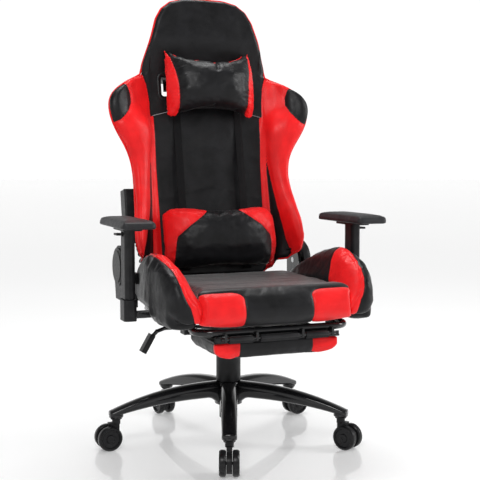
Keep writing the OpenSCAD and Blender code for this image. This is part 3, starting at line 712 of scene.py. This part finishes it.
def shell_of(b):
    """The backrest's closed shell, without seams."""
    front = front_grid(b)
    outward = outward_of(b.rim)
    front_y = rim_of(front)[:, 1]
    thick = b.back(b.rim[:, 0], b.rim[:, 1], b.half(b.rim[:, 1])) - REAR_ROUND - front_y
    inset = thick * (SIDE_TAPER * np.abs(outward[:, 0]) + END_TAPER * np.abs(outward[:, 1]))
    bulge = np.interp(b.rim[:, 1], [0, 195, 250, 330, 420, 560], [1.0, 1.1, 1.9, 1.9, 1.3, 1.0])
    walls = []
    for depth in (0.1, 0.25, 0.4, 0.55, 0.7, 0.85):
        spot = b.rim - outward * (inset * depth ** bulge)[:, None]
        walls.append(np.column_stack([spot[:, 0], front_y + thick * depth, spot[:, 1]]))
    rear = rear_grid(b, b.rim - outward * inset[:, None])
    return closed_form("backrest_cover", front, walls, rear, BACK)


def sew_backrest(made, b):
    def facing(points, normal):
        wing = np.where(np.abs(points[:, 0]) > 165, 1.0, 0.42)
        return wing * np.clip(-1.6 * normal[:, 1] - 0.1, 0, 1)

    front_lines = [
        seam_line(strip_inner, b.low, STRIP_TOP - 1), seam_line(strip_outer, b.low, STRIP_TOP - 1),
        seam_line(flank_seam, 392, WING_TOP + 1), seam_line(flank_seam, 8, 392), neck_seam,
        seam_line(lens_edge, 389, 505), *channels, *chevrons]
    sew(made, BACK, mirrored, front_lines, facing, depth=2.6, width=2.2, puff=5.0, reach=16)
    rear_lines = [[(150, b.low), (150, 520)], [(0, 120), (150, 120)], [(0, 440), (150, 440)]]
    sew(made, BACK, mirrored, rear_lines, lambda p, n: 1.0 * (n[:, 1] > 0.3), depth=1.5, width=2.0)
    crumple(made, BACK, 60, 1.6, (1, 1, 0.6), 3.0)


def paint_backrest(made):
    points, _ = places(made, BACK)
    across, height = mirrored(points).T
    strip = np.minimum(across - strip_inner(height), strip_outer(height) - across)
    strip = np.minimum(strip, STRIP_TOP - height)
    wing = np.minimum(across - flank_seam(height), lens_edge(height) - across)
    wing = np.minimum(wing, WING_TOP - height)
    on_front = np.arange(len(points)) < ROWS * COLUMNS
    paint(made, np.where(on_front, np.maximum(strip, wing), BEHIND_RIM))


def make_backrest(b):
    made = shell_of(b)
    sew_backrest(made, b)
    paint_backrest(made)
    cut_holes(made, *hole_facts())
    dress(made, two_tone, "backrest", [*SHELL, "back_wing_right"])


def make_backrest_piping(b):
    rim = b.rim + outward_of(b.rim) * PIPING_OUT
    path = np.column_stack([rim[:, 0], rim_of(front_grid(b))[:, 1] - PIPING_AHEAD, rim[:, 1]])
    eased = sum(np.roll(path, k, 0) for k in range(-3, 4)) / 7
    moved = np.linalg.norm(eased - path, axis=1)
    path += (eased - path) * (PIPING_PLAY / np.maximum(moved, PIPING_PLAY))[:, None]
    piping = round_tube("backrest_piping", path[::2], PIPING_RADIUS, BACK, closed=True)
    dress(piping, looks["red_upholstery"], "backrest")


def make_neck_seam(b, side, label):
    """The pale thread beside the head pillow."""
    line = sampled([(96, 436), (128, 427), (163, 418)], 5)
    depth = b.front(line[:, 0], line[:, 1]) + 1.2
    path = np.column_stack([side * line[:, 0], -depth, line[:, 1]])
    thread = round_tube(f"neck_seam_{label}", path, 1.0, BACK)
    dress(thread, looks["neck_thread"], "backrest")


def cut_holes(made, middle, half):
    """Takes away the faces inside both strap holes; the rims cover the raw edge."""
    mesh = bmesh.new()
    mesh.from_mesh(made.data)
    mesh.faces.ensure_lookup_table()
    centres = BACK.inside([f.calc_center_median() for f in mesh.faces])
    inside = in_rounded_box(mirrored(centres), middle, half, HOLE_RADIUS) > -1
    bmesh.ops.delete(mesh, geom=[mesh.faces[i] for i in np.flatnonzero(inside)], context="FACES")
    mesh.to_mesh(made.data)
    mesh.free()


def rounded_outline(half, radius, grow=0.0, corner=10):
    """The points of a rounded rectangle round the origin."""
    half, radius = np.array(half) + grow, radius + grow
    points = []
    for k, (sx, sy) in enumerate(((1, 1), (-1, 1), (-1, -1), (1, -1))):
        for a in np.linspace(0, math.pi / 2, corner) + k * math.pi / 2:
            points.append((sx * (half[0] - radius) + radius * math.cos(a),
                           sy * (half[1] - radius) + radius * math.sin(a)))
    return np.array(points)


# Half of a strap hole's moulded rim: how far outside the hole, and how far above the cover
RIM_PROFILE = [(6, -2), (5.5, 2.5), (1, 5), (-5, 4), (-9, -2)]


def make_hole_rim(b, side, label):
    """A moulded rim that runs through a strap hole, from the front of the cover to its rear."""
    middle, half = hole_facts()
    profile = [(*step, 0) for step in RIM_PROFILE]
    profile += [(-9, 0, 0.5)] + [(*step, 1) for step in RIM_PROFILE[::-1]]
    rings = []
    for grow, lift, at_rear in profile:
        ring = rounded_outline(half, HOLE_RADIUS, grow) + middle
        ahead = b.front(ring[:, 0], ring[:, 1]) + lift
        behind = b.back(ring[:, 0], ring[:, 1], b.half(ring[:, 1])) + lift
        rings.append(np.column_stack([side * ring[:, 0], blend(-ahead, behind, at_rear), ring[:, 1]]))
    rim = loft(f"strap_hole_rim_{label}", rings, BACK, caps=False)
    dress(rim, looks["caster_wheel"], "backrest")


shell = Backrest()
make_backrest(shell)
make_backrest_piping(shell)
for side, label in ((1, "left"), (-1, "right")):
    make_neck_seam(shell, side, label)
    make_hole_rim(shell, side, label)


# ---------------------------------------------------------------- seat

# The cushion's red corners: distance from the middle, radius, and run over the top of the front edge
PATCH_IN, PATCH_ROUND, PATCH_OVER = 89, 30, 27
# Depth of the cushion's front part, where the red corners are
PATCH_DEPTH = 75


def make_seat_cushion():
    made = soft_copy("seat_cushion_cover", "seat_cushion", voxel=5, cap=8, rounds=5, shrink=1)
    low, high = (np.array(c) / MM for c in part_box("seat_cushion"))
    front, side, patch_run = low[1], high[0], high[2] - low[2] + PATCH_OVER

    def unrolled(points):
        """Across, and the run up the front face and back along the top."""
        return np.column_stack([np.abs(points[:, 0]), points[:, 2] - low[2] + points[:, 1] - front])

    turn = np.linspace(0, math.pi / 2, 8)
    corner = np.column_stack([PATCH_IN + PATCH_ROUND * (1 - np.sin(turn)),
                              patch_run - PATCH_ROUND * (1 - np.cos(turn))])
    line = [(side + 20, patch_run), *corner, (PATCH_IN, -20)]
    sew(made, ROOM, unrolled, [line], lambda p, n: 1.0 * (p[:, 1] < front + 70),
        depth=2.0, puff=2.5, reach=12)
    edge = [(side - 9, front + 80), (side - 7, -100), (side - 7, high[1] - 10)]
    sew(made, ROOM, lambda p: np.column_stack([np.abs(p[:, 0]), p[:, 1]]), [edge],
        lambda p, n: 1.0 * (n[:, 2] > 0.2), depth=1.8, width=2.2, gathers=0.8)
    crumple(made, ROOM, 80, 1.6, (0.5, 1.6, 1), 1.0)
    points, _ = places(made, ROOM)
    half = np.array([200, 200])
    middle = np.array([PATCH_IN, patch_run]) + half * (1, -1)
    in_patch = in_rounded_box(unrolled(points), middle, half, PATCH_ROUND)
    paint(made, np.minimum(in_patch, front + PATCH_DEPTH - points[:, 1]))
    dress(made, seat_top, "seat", ["seat_cushion"])


# The left bolster's seam below its ridge, down the front to the pan
CHIN = [(212, -335, 372), (220, -352, 400), (229, -356, 425), (238, -354, 440)]
CHIN_TOP = 459
# The red band reaches this far over the ridge, and the seam runs this much nearer the cushion at the front
BAND, FRONT_SHIFT = 9, 10


def bolster_ridge():
    """The left bolster's highest line, from front to rear."""
    levels = np.linspace(-346, 95, 90)
    across = ROOM.profile(["seat_bolster_left"], 1, levels, lambda p: p[p[:, 2].argmax()][0], 4)
    height = ROOM.profile(["seat_bolster_left"], 1, levels, lambda p: p[:, 2].max(), 4)
    return np.column_stack([across, levels, height])


def shape_bolster_front(made):
    """Pulls the lower front down to the pan's edge and rounds it."""
    points, _ = places(made, ROOM)
    ahead, low = -points[:, 1], points[:, 2]
    points[:, 2] -= 13 * ease((ahead - 315) / 25) * ease((408 - low) / 12) * (low > 380)
    put(made, points, ROOM)
    relax(made, 24, ease((425 - points[:, 2]) / 30) * ease((ahead - 270) / 40), 0)


def make_bolster(label, side):
    name = f"seat_bolster_{label}"
    made = soft_copy(f"{name}_cover", name, voxel=4.5, cap=6, rounds=4, shrink=0.5)
    shape_bolster_front(made)
    points, normal = places(made, ROOM)
    points[:, 0] *= side
    ahead, height = -points[:, 1], points[:, 2]
    points[:, 0] -= 9 * ease((ahead - 285) / 50) * ease((470 - height) / 60) * ease((262 - points[:, 0]) / 40)

    ridge = bolster_ridge()
    across = points[:, 0] + FRONT_SHIFT * ease((ahead - 180) / 120)
    away, _ = distances(np.column_stack([across + 3, points[:, 1:]]), [np.vstack([CHIN, ridge])])
    edge = np.interp(points[:, 1], ridge[:, 1], ridge[:, 0])
    chin_x, chin_z = [c[0] for c in CHIN] + [ridge[0, 0]], [c[2] for c in CHIN] + [CHIN_TOP]
    chin_edge = np.minimum(edge, np.interp(height, chin_z, chin_x))
    edge += (chin_edge - edge) * ease((ahead - 290) / 35) * (height < CHIN_TOP)
    inner = edge - across
    slant = (ahead - 168) - 0.62 * (545 - height)
    hollow = np.exp(-((away - BAND) / 1.6) ** 2) + np.exp(-(slant / 1.8) ** 2) * (inner > 6)
    puffed = 2.5 * (1 - np.exp(-np.abs(away - BAND) / 12))
    spots = np.column_stack([-ahead / 48, (height - 0.5 * ahead) / 90, np.full(len(points), 4.0)])
    folds = np.array([noise.fractal(Vector(p), 1.0, 2.0, 2) for p in spots])
    folds *= 3.0 * np.clip(-inner / 20, 0, 1) * np.clip((520 - height) / 60, 0, 1)
    points[:, 0] *= side
    put(made, points + normal * (puffed - 1.6 * hollow + folds)[:, None], ROOM)
    crumple(made, ROOM, 30, 0.8)
    paint(made, np.maximum(BAND - away, np.minimum(inner, slant)))
    dress(made, two_tone, "seat", [name])


make_seat_cushion()
make_bolster("left", 1)
make_bolster("right", -1)


# ---------------------------------------------------------------- pillows and footrest pad

# Seams of the pillows, as [height up the back, distance from the pillow's middle]
lumbar_seam = table([(-30, 142), (20, 142), (50, 140), (68, 136), (95, 104), (120, 68), (145, 38), (170, 20)])
head_seam = table([(400, 100), (410, 100), (494, 104), (592, 119), (610, 122)])
# The crease in the head pillow's top, as [distance to the left, height]
TOP_CREASE = [(4, 580), (9, 548), (6, 530)]
# The lumbar pillow lies a little to the left
LUMBAR_ASIDE = np.array([6, 0, 0])


def make_lumbar_pillow():
    made = soft_copy("lumbar_pillow_cover", "lumbar_pillow", voxel=4.5, cap=8, rounds=3, shrink=1.5)
    points, _ = places(made, BACK)
    put(made, points + LUMBAR_ASIDE, BACK)

    def centred(points):
        return mirrored(points - LUMBAR_ASIDE)

    sew(made, BACK, centred, [seam_line(lumbar_seam, -26, 156)], lambda p, n: 1.0 * (n[:, 1] < 0.4),
        depth=1.8, puff=2.5, gathers=1.0)
    crumple(made, BACK, 55, 1.8, (1, 1, 1), 7.0)
    points, _ = places(made, BACK)
    paint(made, centred(points)[:, 0] - lumbar_seam(points[:, 2]))
    dress(made, two_tone, "lumbar", ["lumbar_pillow"])


def make_head_pillow():
    made = soft_copy("head_pillow_cover", "head_pillow", voxel=4, cap=8, rounds=2, shrink=1.5)
    sew(made, BACK, mirrored, [seam_line(head_seam, 404, 600)], depth=2.0, puff=3.0, gathers=2.6)
    sew(made, BACK, lambda p: p[:, [0, 2]], [TOP_CREASE], lambda p, n: 1.0 * (n[:, 1] < 0.2),
        depth=5, width=6)
    crumple(made, BACK, 48, 2.2, (0.8, 1, 1), 11.0)
    points, _ = places(made, BACK)
    paint(made, np.abs(points[:, 0]) - head_seam(points[:, 2]))
    dress(made, two_tone, "headrest", ["head_pillow"])
    make_head_pillow_piping(points)


def make_head_pillow_piping(points):
    """A red cord along the pillow's highest line, from its vertices."""
    path = []
    for x in np.linspace(-100, 100, 41):
        slab = points[np.abs(points[:, 0] - x) < 4]
        path.append(slab[slab[:, 2].argmax()])
    path = np.column_stack([smooth(line, 3) for line in np.array(path).T])
    piping = round_tube("head_pillow_piping", path, 1.8, BACK)
    dress(piping, looks["red_upholstery"], "headrest")


def make_footrest_pad():
    """The footrest's cushion, with red ends on its front face."""
    made = soft_copy("footrest_cushion_cover", "footrest_cushion", voxel=4, cap=5, rounds=4, shrink=2)
    low, high = (np.array(c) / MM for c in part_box("footrest_cushion"))
    seam, front = 96, low[1]
    line = [(seam, low[2] - 9), (seam, high[2] + 9)]
    sew(made, ROOM, mirrored, [line], lambda p, n: 1.0 * (p[:, 1] < front + 16), depth=1.5, puff=1.5)
    crumple(made, ROOM, 40, 1.0)
    points, _ = places(made, ROOM)
    paint(made, np.minimum(np.abs(points[:, 0]) - seam, front + 15 - points[:, 1]))
    dress(made, two_tone, "footrest_pad", ["footrest_cushion"])


make_lumbar_pillow()
make_head_pillow()
make_footrest_pad()


# ---------------------------------------------------------------- moulded and cast pieces

def make_armrest_pad(label):
    """A moulded pad, so there is no cloth in it."""
    name = f"armrest_pad_{label}"
    pad = soft_copy(f"{name}_skin", name, voxel=3, cap=0, rounds=5, shrink=0)
    dress(pad, looks["armrest_pad"], f"armrest_{label}", [name])


def rounded_ring(half_wide, low, high, along, power=2.7, sides=28):
    """One section of a leg: a rounded rectangle with soft corners."""
    turn = np.linspace(0, 2 * math.pi, sides, endpoint=False)
    c, s = np.cos(turn), np.sin(turn)
    x = half_wide * np.sign(c) * np.abs(c) ** (2 / power)
    z = (low + high) / 2 + (high - low) / 2 * np.sign(s) * np.abs(s) ** (2 / power)
    return np.column_stack([x, np.full(sides, along), z])


def turned(name, profile, space, sides=40):
    """A turned form about a space's upright axis, from (radius, height) pairs."""
    turn = np.linspace(0, 2 * math.pi, sides, endpoint=False)
    rings = [np.column_stack([r * np.cos(turn), r * np.sin(turn), np.full(sides, z)]) for r, z in profile]
    return loft(name, rings, space)


# A leg starts this far from the column and ends this far past the stem, with these half widths
LEG_START, LEG_PAST = 30, 12
LEG_HALF_ROOT, LEG_HALF_TIP = 25, 18.5
# Profiles of the collar under a leg's tip and of the hub, as (radius, height over the lowest point)
TIP_PROFILE = [(11, -1), (17.5, -1), (19, 1), (19, 9), (17, 11), (17, 16), (12, 17)]
HUB_HEIGHT = 65
HUB_PROFILE = [(34, 0), (38, 2), (38.5, 40), (37, HUB_HEIGHT - 10), (34, HUB_HEIGHT - 3), (31, HUB_HEIGHT),
               (26, HUB_HEIGHT)]


def leg_heights(space, levels, measure):
    """The upper or lower edge of one leg of the CAD base."""
    return space.profile(["star_base"], 1, levels, lambda p: measure(p[np.abs(p[:, 0]) < 32][:, 2]), 2)


def base_leg(stem_m):
    """A pressed leg with a rounded end, and the collar under its tip."""
    reach_m = np.linalg.norm(stem_m[:2])
    along = np.array([*stem_m[:2], 0]) / reach_m
    space = Space((0, 0, 0), np.cross(along, (0, 0, 1)), along, (0, 0, 1))
    ends = [LEG_START, reach_m / MM + LEG_PAST]
    levels = np.linspace(*ends, 40)
    top, under = leg_heights(space, levels, np.max), leg_heights(space, levels, np.min)
    half = np.interp(levels, ends, [LEG_HALF_ROOT, LEG_HALF_TIP])
    rings = [rounded_ring(*section) for section in zip(half, under, top, levels)]
    middle = (under[-1] + top[-1]) / 2
    for size, out in ((0.94, 3.0), (0.8, 5.2), (0.5, 6.6)):
        low, high = blend(middle, under[-1], size), blend(middle, top[-1], size)
        rings.append(rounded_ring(half[-1] * size, low, high, levels[-1] + out))
    collar_low = under[-8:].min()
    collar = [(radius, collar_low + height) for radius, height in TIP_PROFILE]
    tip = Space((*stem_m[:2], 0), (1, 0, 0), (0, 1, 0), (0, 0, 1))
    return [loft("leg", rings, space), turned("tip", collar, tip)]


def make_star_base():
    parts = []
    for n in range(1, 6):
        parts += base_leg(np.array(joints[f"caster_swivel_{n}"]["pos_m"]))
    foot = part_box("star_base")[1][2] / MM - HUB_HEIGHT
    parts.append(turned("hub", [(radius, foot + height) for radius, height in HUB_PROFILE], ROOM, 64))
    star = joined("star_base_casting", parts)
    dress(star, looks["gloss_black_steel"], "base", ["star_base"])


def make_footrest_edge():
    """The turned-up front edge of the footrest's board, which shows as a dark strip under the rail."""
    low, high = (np.array(c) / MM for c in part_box("footrest_cushion"))
    front, reach, half_thick = low[1] - 1.5, high[0] - 3, 1.2
    section = [(-half_thick, 0.5), (half_thick, 0.5), (half_thick, 13), (0, 14), (-half_thick, 13)]
    rings = [[(x, front + y, high[2] + z) for y, z in section] for x in np.linspace(-reach, reach, 12)]
    edge = loft("footrest_board_edge", rings, ROOM)
    dress(edge, looks["matte_plastic"], "footrest_pad")


make_star_base()
make_footrest_edge()
for label in ("left", "right"):
    make_armrest_pad(label)
dress_cad()


# ---------------------------------------------------------------- floor, light and camera

def make_stage():
    bpy.ops.mesh.primitive_circle_add(vertices=96, radius=40, fill_type="NGON", location=(0, 0, -0.0005))
    floor = bpy.context.object
    floor.name = "floor"
    n = Nodes("floor")
    n.set(Base_Color=(0.9, 0.9, 0.9, 1), Roughness=0.3, Coat_Weight=0.8, Coat_Roughness=0.02, Coat_IOR=1.7,
          Emission_Color=(1, 1, 1, 1), Emission_Strength=0.3)
    floor.data.materials.append(n.material)
    world = bpy.data.worlds.new("studio")
    world.use_nodes = True
    tree = world.node_tree
    tree.nodes["Background"].inputs["Color"].default_value = (1, 1, 1, 1)
    direction = tree.nodes.new("ShaderNodeTexCoord").outputs["Generated"]
    height = tree.nodes.new("ShaderNodeSeparateXYZ")
    tree.links.new(direction, height.inputs[0])
    # Bright round the horizon, and dimmer above it
    ramp = tree.nodes.new("ShaderNodeMapRange")
    for key, value in (("From Min", 0.19), ("From Max", 0.42), ("To Min", 1.05), ("To Max", 0.2)):
        ramp.inputs[key].default_value = value
    tree.links.new(height.outputs["Z"], ramp.inputs["Value"])
    tree.links.new(ramp.outputs["Result"], tree.nodes["Background"].inputs["Strength"])
    bpy.context.scene.world = world
    bpy.context.scene.view_settings.view_transform = "Standard"


def softbox(name, place, aim, size, power):
    light = bpy.data.lights.new(name, "AREA")
    light.shape, light.size, light.size_y, light.energy = "RECTANGLE", *size, power
    lamp = bpy.data.objects.new(name, light)
    lamp.location = place
    lamp.rotation_euler = (Vector(aim) - Vector(place)).to_track_quat("-Z", "Y").to_euler()
    bpy.context.scene.collection.objects.link(lamp)


def make_camera():
    """The photograph's point of view: a little above the seat, in front and to the sitter's right."""
    camera = bpy.data.objects.new("camera", bpy.data.cameras.new("camera"))
    camera.location = (-0.928, -2.492, 0.764)
    camera.rotation_euler = Vector((0.3591, 0.9299, -0.0805)).to_track_quat("-Z", "Y").to_euler()
    camera.data.lens, camera.data.sensor_width = 73.3, 36
    bpy.context.scene.collection.objects.link(camera)
    bpy.context.scene.camera = camera


make_stage()
softbox("key", (-1.4, -2.6, 2.8), (0, 0, 0.6), (1.2, 1.0), 50)
softbox("side", (2.8, -1.0, 1.8), (0, 0, 0.7), (0.7, 1.8), 45)
softbox("top", (0.2, 0.6, 3.0), (0, 0, 0.6), (1.4, 1.4), 45)
make_camera()
